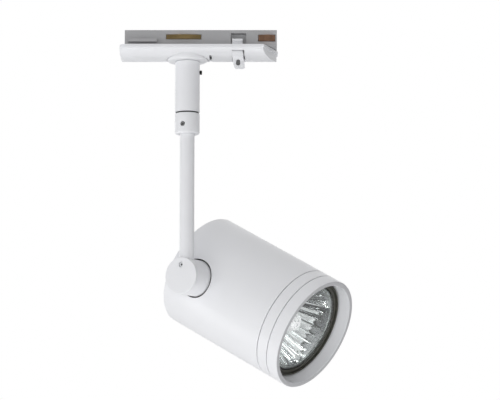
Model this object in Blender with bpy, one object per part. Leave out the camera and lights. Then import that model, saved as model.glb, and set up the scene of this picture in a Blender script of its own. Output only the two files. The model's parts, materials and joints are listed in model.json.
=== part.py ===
"""Track spotlight with a 50 mm reflector lamp, as an assembly of separate pieces.

Frame: +Z up, +X along the track, -Y towards the viewer. The origin is the middle of the
flat top of the adapter block, which goes up into the track. The stem hangs on the Z axis.
"""
import math

import bmesh
import bpy
from mathutils import Matrix, Vector

MM = 0.001
GAP = 0.3                       # clearance between neighbouring pieces, mm

# Driving dimensions, mm and degrees
PAN = 31.5                      # heading of the lamp, from +X towards -Y
TILT = 28.6                     # lamp axis below the horizontal
SEAM_Z = -46.0                  # joint between the fixed column and the turning sleeve
HINGE_Z = -138.1                # centre of the tilt knuckle
SIDE_OFFSET = 40.3              # lamp axis to stem axis, along the tilt axis

BODY_R = 32.5
BODY_WALL = 2.0
BODY_FRONT = 67.0               # lamp body ends, measured along its axis from the tilt axis
BODY_REAR = -18.0
FRONT_GROOVE = 59.45            # fine groove behind the front ring
REAR_GROOVE = 52.5              # fine groove behind the middle ring
GROOVE = 0.4
BEZEL_R = 29.8                  # opening of the front ring, at its front edge
SEAT_R = 29.0                   # the same at the retainer, where the opening has tapered
RECESS = 6.6                    # front edge to the dark retainer
LAMP_R = 25.2

COVER_X = (-37.7, 50.8)
COVER_HALF_Y = 15.0
COVER_TOP = -9.5
COVER_LIP = 1.45
BULGE_HALF_Y = 14.3
BULGE_DEPTH = 4.9
COVER_WALL = 1.4
CUT_X = 42.8                    # where the slanted end of the cover starts, on its near side
BLOCK_HALF_Y = 7.5

FLANGE_R = 11.5
FLANGE_Z = -16.7
COLUMN_R = 6.95
SLEEVE_END_Z = -58.0
STEM_R = 4.1
KNUCKLE_R = 10.22
KNUCKLE_FACE = -6.2             # outer face of the knuckle, along the tilt axis from the stem
KNUCKLE_END = 12.5
KNUCKLE_HOLE_R = 11.05          # hole in the lamp body that the knuckle goes into
KNUCKLE_SCREW = (-0.2, 6.15)    # its place on the knuckle's disc
PLATE_S = 13.4                  # chassis plate that the knuckle bears on, along the tilt axis

COVER_SCREWS = (-26.0, 29.0)     # x of the screws that hold the cover to the block
REAR_SCREWS = (SIDE_OFFSET - 17.5, SIDE_OFFSET + 17.5)      # rear cap to chassis
HOLDER_SCREWS = (SIDE_OFFSET - 10.0, SIDE_OFFSET + 10.0)    # lamp holder to chassis
PIN_OFFSET = 5.0                 # lamp pins, from the lamp axis
TWIST = 15.0                     # turn of the lamp in its holder, degrees

LATCH_PIN = (-9.6, -11.0)       # y, z of the latch pin
LATCH_X = (25.1, 32.3)

WHITE = ("white_paint", (0.86, 0.86, 0.87), 0.42, 0.0)
PLASTIC = ("white_plastic", (0.82, 0.82, 0.83), 0.5, 0.0)
GREY = ("grey_plastic", (0.45, 0.45, 0.46), 0.55, 0.0)
BLACK = ("black_plastic", (0.03, 0.03, 0.03), 0.5, 0.0)
STEEL = ("steel", (0.6, 0.6, 0.6), 0.3, 1.0)
DARK_STEEL = ("blackened_steel", (0.08, 0.08, 0.08), 0.4, 1.0)
BRASS = ("brass", (0.75, 0.55, 0.25), 0.35, 1.0)
CERAMIC = ("ceramic", (0.85, 0.83, 0.78), 0.6, 0.0)
GLASS = ("clear_glass", (0.9, 0.95, 0.95), 0.05, 0.0)
MIRROR = ("mirror_coating", (0.85, 0.87, 0.87), 0.1, 1.0)
SILICONE = ("dark_silicone", (0.06, 0.06, 0.05), 0.6, 0.0)
CABLE = ("cable_sheath", (0.75, 0.75, 0.75), 0.6, 0.0)


# ---------------------------------------------------------------- helpers
def material(spec):
    name, colour, roughness, metallic = spec
    made = bpy.data.materials.get(name)
    if made is None:
        made = bpy.data.materials.new(name)
        made.use_nodes = True
        shader = made.node_tree.nodes["Principled BSDF"]
        shader.inputs["Base Color"].default_value = (*colour, 1.0)
        shader.inputs["Roughness"].default_value = roughness
        shader.inputs["Metallic"].default_value = metallic
    return made


def add_object(name, bm, spec, parent=None, smooth=True):
    """Make an object from a bmesh in millimetres, in its parent's frame."""
    bmesh.ops.recalc_face_normals(bm, faces=bm.faces)
    bmesh.ops.scale(bm, vec=(MM, MM, MM), verts=bm.verts)
    mesh = bpy.data.meshes.new(name)
    bm.to_mesh(mesh)
    bm.free()
    if smooth:
        mesh.shade_smooth()
        mesh.set_sharp_from_angle(angle=math.radians(35))
    obj = bpy.data.objects.new(name, mesh)
    bpy.context.collection.objects.link(obj)
    obj.parent = parent
    if spec:
        mesh.materials.append(material(spec))
    return obj


def frame(name, place):
    """An empty that carries a moving group, at its joint axis."""
    empty = bpy.data.objects.new(name, None)
    empty.empty_display_size = 0.02
    empty.matrix_world = place
    bpy.context.collection.objects.link(empty)
    return empty


def axes(x, y, z, origin=(0, 0, 0)):
    """Matrix whose columns are the given axes, moved to origin (mm)."""
    turn = Matrix((x, y, z)).transposed().to_4x4()
    return Matrix.Translation(Vector(origin) * MM) @ turn


def arc(cx, cy, radius, start, end, steps=4):
    """Points of an arc, angles in degrees."""
    points = []
    for i in range(steps + 1):
        angle = math.radians(start + (end - start) * i / steps)
        points.append((cx + radius * math.cos(angle), cy + radius * math.sin(angle)))
    return points


def lathe(profile, segments=48, centre=(0, 0)):
    """Turn a closed outline of (radius, z) points about the Z axis through centre."""
    bm = bmesh.new()
    rings = []
    for radius, z in profile:
        if radius < 1e-6:
            rings.append([bm.verts.new((centre[0], centre[1], z))])
            continue
        ring = []
        for i in range(segments):
            angle = 2 * math.pi * i / segments
            ring.append(bm.verts.new((centre[0] + radius * math.cos(angle),
                                      centre[1] + radius * math.sin(angle), z)))
        rings.append(ring)
    for lower, upper in zip(rings, rings[1:] + rings[:1]):
        if len(lower) == 1 and len(upper) == 1:
            continue
        for i in range(segments):
            j = (i + 1) % segments
            if len(lower) == 1:
                bm.faces.new((lower[0], upper[j], upper[i]))
            elif len(upper) == 1:
                bm.faces.new((lower[i], lower[j], upper[0]))
            else:
                bm.faces.new((lower[i], lower[j], upper[j], upper[i]))
    return bm


def tube(outer, inner, z0, z1):
    """Outline of a plain tube, for lathe."""
    return [(inner, z0), (outer, z0), (outer, z1), (inner, z1)]


def rod(radius, z0, z1):
    """Outline of a plain rod, for lathe."""
    return [(0, z0), (radius, z0), (radius, z1), (0, z1)]


def prism(outline, low, high, axis="Z"):
    """Extrude a 2-D outline along one axis. The outline's axes are the other two in order."""
    order = {"X": (2, 0, 1), "Y": (0, 2, 1), "Z": (0, 1, 2)}[axis]
    bm = bmesh.new()
    layers = []
    for level in (low, high):
        layer = []
        for u, v in outline:
            point = (u, v, level)
            layer.append(bm.verts.new([point[k] for k in order]))
        layers.append(layer)
    count = len(outline)
    for i in range(count):
        j = (i + 1) % count
        bm.faces.new((layers[0][i], layers[0][j], layers[1][j], layers[1][i]))
    bm.faces.new(layers[0])
    bm.faces.new(layers[1])
    return bm


def box(x0, x1, y0, y1, z0, z1):
    return prism([(x0, y0), (x1, y0), (x1, y1), (x0, y1)], z0, z1)


def hexagon(radius):
    return arc(0, 0, radius, 0, 300, 5)


def place(bm, matrix):
    bmesh.ops.transform(bm, matrix=matrix, verts=bm.verts)
    return bm


def combine(obj, solids, operation="DIFFERENCE"):
    """Boolean obj with one hidden helper, made of solids that don't meet, in millimetres."""
    solids = solids if isinstance(solids, list) else [solids]
    joined = solids[0]
    for other in solids[1:]:
        spare = bpy.data.meshes.new("spare")
        other.to_mesh(spare)
        joined.from_mesh(spare)
        other.free()
        bpy.data.meshes.remove(spare)
    helper = add_object(f"{obj.name}.cut{len(obj.modifiers)}", joined, None, obj.parent, False)
    helper.hide_render = True
    helper.display_type = "WIRE"
    step = obj.modifiers.new("Boolean", "BOOLEAN")
    step.operation = operation
    step.solver = "EXACT"
    step.object = helper
    return obj


def along_x(bm, y, z):
    """Lay a solid turned about Z along X instead, through (y, z)."""
    return place(bm, Matrix(((0, 0, 1, 0), (1, 0, 0, y), (0, 1, 0, z), (0, 0, 0, 1))))


def towards(direction, origin=(0, 0, 0)):
    """Matrix (mm) that takes +Z to direction and moves to origin."""
    turn = Vector((0, 0, 1)).rotation_difference(Vector(direction)).to_matrix().to_4x4()
    return Matrix.Translation(Vector(origin)) @ turn


def bezier(knots, steps):
    points = []
    for i in range(steps + 1):
        t = i / steps
        weights = [math.comb(3, k) * t ** k * (1 - t) ** (3 - k) for k in range(4)]
        points.append(sum((w * knot for w, knot in zip(weights, knots)), Vector()))
    return points


# ---------------------------------------------------------------- adapter
def cover_outline(inset=0.0):
    """Plan of the cover: round left corners, near right corner cut off slantwise."""
    x0, x1 = COVER_X[0] + inset, COVER_X[1] - inset
    half = COVER_HALF_Y - inset
    corner = 3.0 - min(inset, 2.0)
    points = [(CUT_X - inset * 0.6, -half), (x1, half - 9.0 + inset)]
    points += arc(x1 - corner, half - corner, corner, 0, 90, 3)
    points += arc(x0 + corner, half - corner, corner, 90, 180, 3)
    points += arc(x0 + corner, -half + corner, corner, 180, 270, 3)
    return points


def bulge_section(half, depth, steps=14):
    """Half-elliptical section (y, z) of the cover's underside, closed above the lip."""
    crease = COVER_TOP - COVER_LIP
    top = COVER_TOP + 4.0
    points = [(half, top), (-half, top)]
    for i in range(steps + 1):
        angle = math.pi + math.pi * i / steps
        points.append((half * math.cos(angle), crease + depth * math.sin(angle)))
    return points


def make_cover():
    lip = 0.7
    low = COVER_TOP - COVER_LIP - BULGE_DEPTH - 1
    cover = add_object("adapter_cover", prism(cover_outline(lip), low, COVER_TOP - 0.4), PLASTIC)
    bulge = prism(bulge_section(BULGE_HALF_Y, BULGE_DEPTH), COVER_X[0] - 1, COVER_X[1] + 1, "X")
    combine(cover, bulge, "INTERSECT")
    combine(cover, prism(cover_outline(), COVER_TOP - COVER_LIP, COVER_TOP), "UNION")
    inside = prism(bulge_section(BULGE_HALF_Y - COVER_WALL, BULGE_DEPTH - COVER_WALL + 0.1),
                   COVER_X[0] + lip + COVER_WALL, CUT_X - 4.0, "X")
    combine(cover, inside)
    combine(cover, lathe(rod(FLANGE_R + GAP, -20, -10), 48))
    slot = [(24.8, -13.4), (31.9, -13.4), (32.8, 5.0), (24.8, 5.0)]
    combine(cover, prism(slot, -20, COVER_TOP + 1))
    notch = [(12.4, -13.7), (13.2, -14.2), (14.6, -15.1), (20.6, -15.9), (20.6, -17), (12.4, -17)]
    combine(cover, prism(notch, -9.0, 15.0, "Y"))
    return cover


def make_adapter_body():
    """Insulating block in the track channel, on a plate that closes the cover."""
    x0, x1 = COVER_X[0] + 2.6, CUT_X - 4.5
    plate_z = -12.5
    body = add_object("adapter_body", box(x0, x1, -11.0, 11.0, plate_z, COVER_TOP), GREY, smooth=False)
    block = [(-35.0, -BLOCK_HALF_Y), (50.2, -BLOCK_HALF_Y), (50.2, BLOCK_HALF_Y), (-35.0, BLOCK_HALF_Y)]
    combine(body, prism(block, COVER_TOP + GAP, 0.0), "UNION")
    combine(body, box(x0 + 0.5, x1 - 0.5, -7.0, 7.0, plate_z + 1, COVER_TOP + 1), "UNION")
    lugs = [box(-33.0, -17.0, -10.6, 10.6, -7.2, -5.4), box(34.0, 48.0, 0.0, 10.6, -7.2, -5.4)]
    combine(body, lugs, "UNION")
    combine(body, [box(-8.5, 23.2, -6.1, 6.1, plate_z + 1.2, -1.5),
                   box(24.4, 33.0, -12.0, -3.6, plate_z - 1, -1.8)])
    combine(body, [box(7.0, 22.0, -5.0, 5.0, plate_z - 1, -9.0), lathe(rod(3.9 + GAP, plate_z - 1, -9), 24)])
    combine(body, along_x(lathe(rod(0.9, 22.6, 34.8), 16), *LATCH_PIN))
    pockets = [box(-12.0, 8.0, -9.0, -6.8, -5.4, -2.4), box(-12.0, 8.0, 6.8, 9.0, -5.4, -2.4)]
    combine(body, pockets + [box(39.6, 49.4, -9.0, -6.6, -6.6, -2.6)])
    bores = [(0, -17.0), (1.8, -17.0), (1.8, -2.6), (2.9, -2.6), (2.9, 1.0), (0, 1.0)]
    combine(body, [lathe(bores, 16, (x, 0)) for x in COVER_SCREWS])
    return body


def contact(name, x0, x1, side, z0, z1, spec=BRASS):
    """Spring contact: a strip in a side pocket of the block, bowed outwards."""
    inner, outer, rise = 7.15, 7.65, 1.5
    outline = [(x0, inner), (x1, inner), (x1, outer)]
    steps = 6
    for i in range(1, steps):
        t = 1 - i / steps
        outline.append((x0 + (x1 - x0) * t, outer + rise * math.sin(math.pi * t)))
    outline.append((x0, outer))
    outline = [(x, side * y) for x, y in outline]
    return add_object(name, prism(outline, z0, z1), spec, smooth=False)


def latch_frame():
    return frame("latch_axis", Matrix.Translation(Vector((0, *LATCH_PIN)) * MM))


def make_latch(parent):
    """Bent latch tab with an oval finger hole; its hook goes over the track's lip."""
    py, pz = LATCH_PIN
    side = [(-11.3, -7.0), (-11.3, -5.7), (-8.4, -5.7), (-8.4, -9.5), (-7.8, -11.0), (-7.9, -14.4),
            (-7.9, -22.3), (-9.1, -22.3), (-9.1, -15.3), (-12.6, -14.3), (-12.8, -13.1),
            (-11.3, -12.0), (-11.3, -10.1), (-9.8, -9.3), (-9.8, -7.0)]
    side = [(y - py, z - pz) for y, z in side]
    lever = add_object("latch_lever", prism(side, *LATCH_X, "X"), PLASTIC, parent, smooth=False)
    left, right = LATCH_X
    front = [(left, -5), (left, -15.0), (left + 0.5, -18.5), (left + 1.3, -21.4), (left + 2.0, -22.3),
             (right - 0.7, -22.3), (right, -21.6), (right - 0.5, -17.5), (right - 1.3, -12.9), (right - 1.3, -5)]
    front = [(x, z - pz) for x, z in front]
    combine(lever, prism(front, -8, 8, "Y"), "INTERSECT")
    hole_x = left + 3.4
    oval = arc(hole_x, -18.2 - pz, 1.15, 0, 180, 6) + arc(hole_x, -19.4 - pz, 1.15, 180, 360, 6)
    combine(lever, prism(oval, -8, 8, "Y"))
    combine(lever, along_x(lathe(rod(0.9, 20, 40), 16), 0, 0))
    add_object("latch_pin", along_x(lathe(rod(0.6, 23.0, 34.4), 12), py, pz), STEEL)
    backing = box(left + 1.7, right - 0.9, -7.5 - py, -7.0 - py, -21.2 - pz, -16.1 - pz)
    add_object("latch_backing_plate", backing, DARK_STEEL, parent, smooth=False)
    spring = [(-6.5, -9.0), (-6.5, -7.2), (-4.1, -4.6), (-4.1, -4.1), (-4.4, -4.1), (-6.9, -7.0), (-6.9, -9.0)]
    add_object("latch_spring", prism(spring, 27.0, 30.0, "X"), STEEL, smooth=False)


def make_adapter():
    make_cover()
    make_adapter_body()
    contact("contact_live", -11.7, 7.7, -1, -5.1, -2.7)
    contact("contact_neutral", -11.7, 7.7, 1, -5.1, -2.7)
    contact("contact_earth", 39.9, 49.1, -1, -6.3, -2.9)
    screw = [(0, -14.0), (1.4, -14.0), (1.4, -2.3), (2.6, -2.3), (2.6, -0.5), (1.0, -0.5), (1.0, -1.3), (0, -1.3)]
    for tag, x in zip(("left", "right"), COVER_SCREWS):
        add_object(f"cover_screw_{tag}", lathe(screw, 16, (x, 0)), STEEL)
    block = add_object("terminal_block", box(9.0, 21.5, -4.6, 4.6, -10.8, -3.4), CERAMIC, smooth=False)
    combine(block, [along_x(lathe(rod(1.1, 8.0, 13.0), 12), y, -7.0) for y in (-2.3, 2.3)])
    flange = [(2.7, -28.0), (5.2, -28.0), (5.2, FLANGE_Z)]
    flange += [(FLANGE_R - 1.5, FLANGE_Z)] + arc(FLANGE_R - 1.3, FLANGE_Z + 1.1, 1.1, -90, 0, 2)
    flange += [(FLANGE_R, -14.6), (FLANGE_R, -12.8), (3.9, -12.8), (3.9, -7.2), (2.7, -7.2)]
    add_object("adapter_flange", lathe(flange, 36), WHITE)
    nut = add_object("flange_nut", prism(hexagon(5.8), -11.0, -8.4), STEEL, smooth=False)
    combine(nut, lathe(rod(3.9 + GAP, -12, -8), 24))


# ---------------------------------------------------------------- column and pan joint
def make_column():
    column = [(4.3, SEAM_Z + 0.4), (COLUMN_R, SEAM_Z + 0.4), (COLUMN_R, FLANGE_Z - GAP)]
    column += [(5.6, FLANGE_Z - GAP), (5.6, -43.0), (4.3, -43.0)]
    column = add_object("column_tube", lathe(column, 28), WHITE)
    screw_z = -22.8
    combine(column, place(lathe(rod(1.25 + GAP, 4.0, 9.0), 16), towards((1, 0, 0), (0, 0, screw_z))))
    screw = [(0, 5.55), (1.25, 5.55), (1.25, 8.2), (0.6, 8.2), (0.6, 7.2), (0, 7.2)]
    add_object("column_grub_screw", place(lathe(screw, 16), towards((1, 0, 0), (0, 0, screw_z))), DARK_STEEL)
    add_object("swivel_washer", lathe(tube(6.5, 4.3, SEAM_Z - 0.2, SEAM_Z + 0.2), 32), BLACK)
    add_object("swivel_spring_washer", lathe(tube(5.2, 4.3, -42.7, -42.0), 24), STEEL)
    nut = add_object("swivel_nut", prism(hexagon(5.25), -41.7, -38.7), BRASS, smooth=False)
    combine(nut, lathe(rod(4.0 + GAP, -43, -38), 24))
    add_object("supply_cable", lathe(rod(1.9, -134.6, -4.0), 12), CABLE)


def make_stem(pan):
    """Everything that turns with the sleeve. The pan frame's origin is the seam."""
    up = -SEAM_Z
    add_object("swivel_spindle", lathe(tube(4.0, 2.7, -50.6 + up, -37.6 + up), 24), BRASS, pan)
    end = SLEEVE_END_Z + up
    sleeve = [(4.4, end), (COLUMN_R - 1.4, end)] + arc(COLUMN_R - 1.0, end + 1.0, 1.0, -60, 0, 2)
    sleeve += [(COLUMN_R, -0.4), (4.4, -0.4)]
    sleeve = add_object("swivel_sleeve", lathe(sleeve, 28), WHITE, pan)
    aim = Vector((-2.5, -6.48, 0)).normalized()
    combine(sleeve, place(lathe(rod(1.4, 3.0, 8.0), 16), towards(aim, (0, 0, -6.9))))
    screw = [(0, 4.75), (1.1, 4.75), (1.1, 6.5), (0.6, 6.5), (0.6, 5.6), (0, 5.6)]
    add_object("sleeve_grub_screw", place(lathe(screw, 16), towards(aim, (0, 0, -6.9))), DARK_STEEL, pan)
    add_object("stem_tube", lathe(tube(STEM_R, 3.1, -134.3 + up, -51.0 + up), 24), WHITE, pan)


def make_knuckle(knuckle):
    """Knuckle pieces, in a frame at the tilt axis: +Z along the axis, +Y up."""
    housing = [(3.3, 10.5), (8.6, 10.5), (8.6, KNUCKLE_FACE + 1.85), (KNUCKLE_R, KNUCKLE_FACE + 1.85)]
    housing += [(KNUCKLE_R, KNUCKLE_END), (3.3, KNUCKLE_END)]
    housing = add_object("knuckle_housing", lathe(housing, 32), WHITE, knuckle)
    combine(housing, place(lathe(rod(STEM_R + GAP, 5.0, 12.0), 24), towards((0, 1, 0))))
    cap = [(0, KNUCKLE_FACE), (KNUCKLE_R - 0.35, KNUCKLE_FACE), (KNUCKLE_R, KNUCKLE_FACE + 0.35)]
    cap += [(KNUCKLE_R, KNUCKLE_FACE + 1.6), (0, KNUCKLE_FACE + 1.6)]
    cap = add_object("knuckle_cap", lathe(cap, 32), WHITE, knuckle)
    combine(cap, lathe(rod(1.6, -8, -3), 20, KNUCKLE_SCREW))
    screw = [(0, -4.45), (1.3, -4.45), (1.3, -5.7), (0.7, -5.7), (0.7, -5.0), (0, -5.0)]
    add_object("knuckle_grub_screw", lathe(screw, 16, KNUCKLE_SCREW), STEEL, knuckle)
    bolt = [(1.9, 8.0), (5.2, 8.0), (5.2, 10.2), (3.0, 10.2), (3.0, 21.0), (1.9, 21.0)]
    add_object("tilt_bolt", lathe(bolt, 24), STEEL, knuckle)
    add_object("tilt_friction_washer", lathe(tube(9.4, 3.4, 12.7, 13.15), 32), BLACK, knuckle)


# ---------------------------------------------------------------- lamp body
# In the lamp frame +Z is the lamp axis, forwards, +X the tilt axis, away from the stem,
# and the origin the knuckle's centre. The lamp axis runs through x = SIDE_OFFSET.
AXIS = (SIDE_OFFSET, 0)


def make_body(lamp):
    wall_r = BODY_R - BODY_WALL
    front = REAR_GROOVE - GROOVE / 2
    shell = [(wall_r, front), (wall_r, BODY_REAR)]
    shell += arc(BODY_R - 0.8, BODY_REAR + 0.8, 0.8, -90, 0, 2) + [(BODY_R, front)]
    shell = add_object("body_shell", lathe(shell, 48, AXIS), WHITE, lamp)
    combine(shell, place(lathe(rod(KNUCKLE_HOLE_R, 0.0, 20.0), 36), towards((1, 0, 0))))

    a, b = REAR_GROOVE + GROOVE / 2, FRONT_GROOVE - GROOVE / 2
    ring = [(30.2, 46.5), (30.2, a), (BODY_R, a), (BODY_R, b), (31.2, b), (31.2, 54.0), (28.4, 54.0), (28.4, 46.5)]
    add_object("middle_ring", lathe(ring, 48, AXIS), WHITE, lamp)

    cap = [(0, -16.9), (wall_r - GAP, -16.9), (wall_r - GAP, -14.9), (20.0, -14.9), (20.0, -12.7)]
    cap += [(15.0, -12.7), (15.0, -14.9), (0, -14.9)]
    cap = add_object("rear_cap", lathe(cap, 36, AXIS), WHITE, lamp)
    holes = []
    for i in range(6):
        angle = math.radians(30 + 60 * i)
        vent = (SIDE_OFFSET + 25 * math.cos(angle), 25 * math.sin(angle))
        holes.append(lathe(rod(1.8, -18, -14), 12, vent))
    combine(cap, holes + [lathe(rod(1.7, -20, -8), 12, (x, 0)) for x in REAR_SCREWS])

    bend = [(PLATE_S, -12.4), (62.5, -12.4), (62.5, -10.9), (PLATE_S + 2.0, -10.9)]
    bend += [(PLATE_S + 2.0, 11.0), (PLATE_S, 11.0)]
    chassis = add_object("chassis_bracket", prism(bend, -9.6, 9.6, "Y"), STEEL, lamp, smooth=False)
    holes = [lathe(rod(1.7, -14, -9), 12, (x, 0)) for x in REAR_SCREWS]
    holes += [lathe(rod(1.5, -14, -9), 12, (x, 0)) for x in HOLDER_SCREWS]
    combine(chassis, holes + [place(lathe(rod(3.3, 10.0, 20.0), 24), towards((1, 0, 0)))])
    for tag, x in zip(("left", "right"), REAR_SCREWS):
        screw = [(0, -17.9), (2.8, -17.9), (2.8, -17.2), (1.4, -17.2), (1.4, -9.5), (0, -9.5)]
        add_object(f"rear_screw_{tag}", lathe(screw, 16, (x, 0)), STEEL, lamp)

    spring = lathe(tube(5.6, 3.3, PLATE_S + 2.3, PLATE_S + 3.2), 24)
    add_object("tilt_spring_washer", place(spring, towards((1, 0, 0))), STEEL, lamp)
    nut = prism(hexagon(5.4), PLATE_S + 3.5, PLATE_S + 6.5)
    nut = add_object("tilt_nut", place(nut, towards((1, 0, 0))), STEEL, lamp, smooth=False)
    combine(nut, place(lathe(rod(3.3, 10.0, 25.0), 24), towards((1, 0, 0))))


def pin_slot(start):
    """Plan of the curved slot that a lamp pin travels in as the lamp is twisted home."""
    half = 2.75
    middle = []
    for angle in (start, start + TWIST):
        turn = math.radians(angle)
        middle.append((SIDE_OFFSET + PIN_OFFSET * math.cos(turn), PIN_OFFSET * math.sin(turn)))
    outline = arc(SIDE_OFFSET, 0, PIN_OFFSET + half, start, start + TWIST, 3)
    outline += arc(*middle[1], half, start + TWIST, start + TWIST + 180, 8)[1:]
    return outline + arc(*middle[0], half, start + 180, start + 360, 8)[1:-1]


def make_holder(lamp):
    """Ceramic lamp holder on two standoffs, and the cable that feeds it."""
    holder = box(SIDE_OFFSET - 13, SIDE_OFFSET + 13, -9, 9, -4.0, 12.6)
    holder = add_object("lamp_holder", holder, CERAMIC, lamp, smooth=False)
    stepped = [(0, -6), (1.5, -6), (1.5, 9.6), (2.9, 9.6), (2.9, 14), (0, 14)]
    sockets = [prism(pin_slot(start), 4.5, 14.0) for start in (90, 270)]
    combine(holder, sockets + [lathe(stepped, 16, (x, 0)) for x in HOLDER_SCREWS])
    for tag, x in zip(("left", "right"), HOLDER_SCREWS):
        standoff = lathe(tube(2.6, 1.5, -10.6, -4.3), 16, (x, 0))
        add_object(f"holder_standoff_{tag}", standoff, BRASS, lamp)
        screw = [(0, -12.2), (1.2, -12.2), (1.2, 9.9), (2.5, 9.9), (2.5, 11.4), (0, 11.4)]
        add_object(f"holder_screw_{tag}", lathe(screw, 16, (x, 0)), STEEL, lamp)
    curve = bpy.data.curves.new("lamp_cable", "CURVE")
    curve.dimensions = "3D"
    curve.bevel_depth = 1.4 * MM
    curve.bevel_resolution = 1
    curve.use_fill_caps = True
    spline = curve.splines.new("POLY")
    straight = [Vector((4.6, 0, 0))] + [Vector((5.0 + 2.0 * i, 0, 0)) for i in range(1, 9)]
    bend = [Vector((21.0, 0, 0)), Vector((25.5, 0, 0)), Vector((24.0, 4.0, -9.5)), Vector((31.0, 5.0, -8.2)),
            Vector((34.0, 5.0, -8.0)), Vector((35.5, 5.0, -6.2))]
    route = straight + bezier(bend[:4], 8) + bezier([bend[3], bend[4], bend[5], bend[5]], 4)[1:]
    spline.points.add(len(route) - 1)
    for point, place_at in zip(spline.points, route):
        point.co = (*(place_at * MM), 1.0)
    cable = bpy.data.objects.new("lamp_cable", curve)
    bpy.context.collection.objects.link(cable)
    cable.parent = lamp
    curve.materials.append(material(CABLE))


def make_front(ring_frame):
    """Screw-on front ring with its dark retainer, turned about the lamp axis."""
    a = FRONT_GROOVE + GROOVE / 2
    seat = BODY_FRONT - RECESS
    ring = [(30.9, 54.5), (30.9, a), (BODY_R, a)] + arc(BODY_R - 0.6, BODY_FRONT - 0.6, 0.6, 0, 90, 2)
    ring += [(BEZEL_R + 0.4, BODY_FRONT), (BEZEL_R, BODY_FRONT - 0.4), (SEAT_R, seat)]
    ring += [(SEAT_R, 57.0), (27.6, 57.0), (27.6, 54.5)]
    add_object("front_ring", lathe(ring, 48), WHITE, ring_frame)
    hold = [(SEAT_R - GAP, 57.3), (SEAT_R - GAP, seat), (28.0, seat), (25.7, seat - 1.2), (25.7, 57.3)]
    add_object("lamp_retainer", lathe(hold, 36), SILICONE, ring_frame)


def make_lamp(bulb):
    """Reflector lamp with a clear front glass and a twist-lock base."""
    outer, inner = [], []
    back, mouth = 26.5, 57.8
    steps = 5
    for i in range(steps + 1):
        t = i / steps
        z = back + (mouth - back) * t
        outer.append((10.2 + (LAMP_R - 10.2) * math.sqrt(t) * (0.75 + 0.25 * t), z))
        inner.append((8.4 + (LAMP_R - 1.9 - 8.4) * math.sqrt(t) * (0.75 + 0.25 * t), z))
    add_object("lamp_reflector", lathe(outer + inner[::-1], 36), MIRROR, bulb)
    add_object("lamp_front_glass", lathe(rod(LAMP_R, mouth + 0.3, 59.5), 36), GLASS, bulb)
    base = [(0, 13.1), (9.0, 13.1), (9.6, 14.0), (9.6, 26.2), (5.2, 26.2), (5.2, 22.0), (0, 22.0)]
    add_object("lamp_base", lathe(base, 24), CERAMIC, bulb)
    radius, tip = 5.6, 55.2
    capsule = [(0, 22.4), (3.4, 22.4), (4.7, 26.4), (radius, 28.5), (radius, tip - radius)]
    capsule += arc(0, tip - radius, radius, 0, 90, 3)[1:-1] + [(0, tip)]
    add_object("lamp_capsule", lathe(capsule, 16), GLASS, bulb)
    for tag, side in (("a", -1), ("b", 1)):
        pin = [(0, 6.0), (2.4, 6.0), (2.4, 8.4), (1.5, 8.4), (1.5, 12.8), (0, 12.8)]
        add_object(f"lamp_pin_{tag}", lathe(pin, 12, (0, PIN_OFFSET * side)), STEEL, bulb)


def main():
    for obj in list(bpy.data.objects):
        bpy.data.objects.remove(obj, do_unlink=True)
    pan, tilt = math.radians(PAN), math.radians(TILT)
    hinge = Vector((math.sin(pan), math.cos(pan), 0))
    level = Vector((math.cos(pan), -math.sin(pan), 0))
    up = Vector((0, 0, 1))
    aim = level * math.cos(tilt) - up * math.sin(tilt)
    centre = Vector((0, 0, HINGE_Z))

    make_adapter()
    make_latch(latch_frame())
    make_column()
    make_stem(frame("pan_axis", Matrix.Translation((0, 0, SEAM_Z * MM))))
    make_knuckle(frame("knuckle_axis", axes(-level, up, hinge, centre)))
    lamp = frame("tilt_axis", axes(hinge, aim.cross(hinge), aim, centre))
    make_body(lamp)
    make_holder(lamp)
    lamp_line = centre + hinge * SIDE_OFFSET
    make_front(frame("front_ring_axis", axes(hinge, aim.cross(hinge), aim, lamp_line)))
    make_lamp(frame("bulb_axis", axes(hinge, aim.cross(hinge), aim, lamp_line)))


main()
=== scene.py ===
"""Looks of the track spotlight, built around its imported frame. Shapes are in millimetres
and turned into metres when a piece is made."""
import json
import math

import bmesh
import bpy
from mathutils import Matrix, Vector

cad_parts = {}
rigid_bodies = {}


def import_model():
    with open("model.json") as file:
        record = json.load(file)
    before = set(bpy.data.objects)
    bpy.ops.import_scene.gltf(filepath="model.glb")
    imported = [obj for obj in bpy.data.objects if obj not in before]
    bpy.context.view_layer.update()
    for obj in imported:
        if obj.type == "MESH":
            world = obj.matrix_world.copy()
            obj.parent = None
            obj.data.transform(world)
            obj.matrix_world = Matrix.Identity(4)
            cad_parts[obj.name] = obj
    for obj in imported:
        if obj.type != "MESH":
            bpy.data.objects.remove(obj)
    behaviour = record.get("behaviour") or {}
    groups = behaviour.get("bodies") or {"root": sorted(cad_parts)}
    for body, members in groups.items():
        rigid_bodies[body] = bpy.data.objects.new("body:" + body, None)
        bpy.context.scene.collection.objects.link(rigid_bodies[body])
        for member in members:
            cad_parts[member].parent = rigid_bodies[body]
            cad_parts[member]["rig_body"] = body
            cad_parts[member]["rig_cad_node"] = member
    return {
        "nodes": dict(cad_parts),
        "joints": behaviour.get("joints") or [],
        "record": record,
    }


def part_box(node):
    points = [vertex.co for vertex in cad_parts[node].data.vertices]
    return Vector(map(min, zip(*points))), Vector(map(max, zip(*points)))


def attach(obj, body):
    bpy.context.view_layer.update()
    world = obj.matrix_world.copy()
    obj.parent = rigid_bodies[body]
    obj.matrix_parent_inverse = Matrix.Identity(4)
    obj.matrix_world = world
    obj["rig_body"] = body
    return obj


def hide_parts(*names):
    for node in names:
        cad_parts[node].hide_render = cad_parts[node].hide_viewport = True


MM = 0.001
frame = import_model()
NODES = frame["nodes"]
JOINTS = {joint["name"]: joint for joint in frame["joints"]}
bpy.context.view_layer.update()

# Places read from the frame
HINGE = Vector(JOINTS["tilt"]["pos_m"]) / MM
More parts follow.
